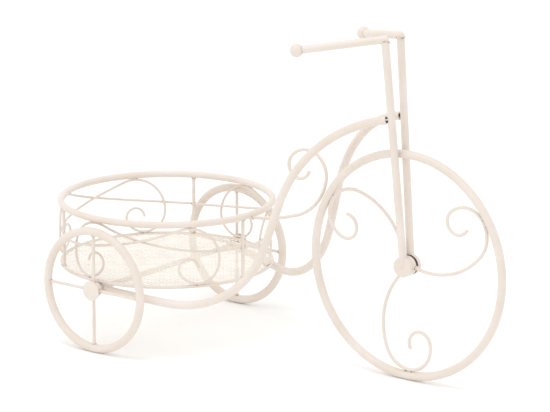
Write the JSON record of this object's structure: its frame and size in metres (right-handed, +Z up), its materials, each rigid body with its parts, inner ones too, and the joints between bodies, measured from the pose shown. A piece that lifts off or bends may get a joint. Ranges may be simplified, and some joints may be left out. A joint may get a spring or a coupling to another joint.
{
  "type": "bicycle plant stand",
  "caption": "Tricycle-shaped plant stand of painted tube and wire: round scrollwork basket between the rear wheels, swept frame, scroll-spoked front wheel that turns.",
  "frame": {"origin": "on the floor, under the middle of the whole stand", "axes": "+X forward towards the front wheel, +Y to the rider's left, +Z up"},
  "size_m": [0.762, 0.3504, 0.4945],
  "materials": {
    "ivory_paint": "satin ivory paint",
    "black_plastic": "matte black",
    "black_steel": "blackened steel"
  },
  "bodies": {
    "stand": {"frame_tube_left": "ivory_paint", "frame_tube_right": "ivory_paint", "frame_end_plug_left": "black_plastic", "frame_end_plug_right": "black_plastic", "frame_scroll": "ivory_paint", "fork_leg_left": "ivory_paint", "fork_leg_right": "ivory_paint", "handlebar_left": "ivory_paint", "handlebar_right": "ivory_paint", "ball_end_left": "ivory_paint", "ball_end_right": "ivory_paint", "head_spacer_left": "black_plastic", "head_spacer_right": "black_plastic", "head_screw_left": "black_steel", "head_screw_right": "black_steel", "basket_rim": "ivory_paint", "basket_base_ring": "ivory_paint", "basket_post_front": "ivory_paint", "basket_post_left": "ivory_paint", "basket_post_right": "ivory_paint", "basket_scroll_1": "ivory_paint", "basket_scroll_2": "ivory_paint", "basket_scroll_3": "ivory_paint", "basket_scroll_4": "ivory_paint", "basket_scroll_5": "ivory_paint", "basket_scroll_6": "ivory_paint", "basket_floor": "ivory_paint", "front_axle_bolt": "black_steel", "front_lock_washer": "black_steel", "front_hub_washer": "black_plastic", "rear_axle_rod": "ivory_paint", "rear_nut_left": "black_steel", "rear_washer_left": "black_steel", "rear_nut_right": "black_steel", "rear_washer_right": "black_steel"},
    "front_wheel": {"front_rim": "ivory_paint", "front_scroll_1": "ivory_paint", "front_scroll_2": "ivory_paint", "front_scroll_3": "ivory_paint", "front_hub": "ivory_paint", "front_bush": "black_plastic"},
    "rear_wheel_left": {"rear_rim_left": "ivory_paint", "rear_hub_left": "ivory_paint", "rear_bush_left": "black_plastic", "rear_cap_left": "ivory_paint", "rear_spoke_left_1": "ivory_paint", "rear_spoke_left_2": "ivory_paint", "rear_spoke_left_3": "ivory_paint", "rear_spoke_left_4": "ivory_paint"},
    "rear_wheel_right": {"rear_rim_right": "ivory_paint", "rear_hub_right": "ivory_paint", "rear_bush_right": "black_plastic", "rear_cap_right": "ivory_paint", "rear_spoke_right_1": "ivory_paint", "rear_spoke_right_2": "ivory_paint", "rear_spoke_right_3": "ivory_paint", "rear_spoke_right_4": "ivory_paint"}
  },
  "joints": [
    {"name": "front_wheel_spin", "type": "hinge", "parent": "stand", "child": "front_wheel", "pos_m": [0.215, 0, 0.166], "axis": [0, 1, 0], "continuous": true},
    {"name": "rear_wheel_left_spin", "type": "hinge", "parent": "stand", "child": "rear_wheel_left", "pos_m": [-0.22, 0.168, 0.093], "axis": [0, 1, 0], "continuous": true},
    {"name": "rear_wheel_right_spin", "type": "hinge", "parent": "stand", "child": "rear_wheel_right", "pos_m": [-0.22, -0.168, 0.093], "axis": [0, 1, 0], "continuous": true}
  ]
}
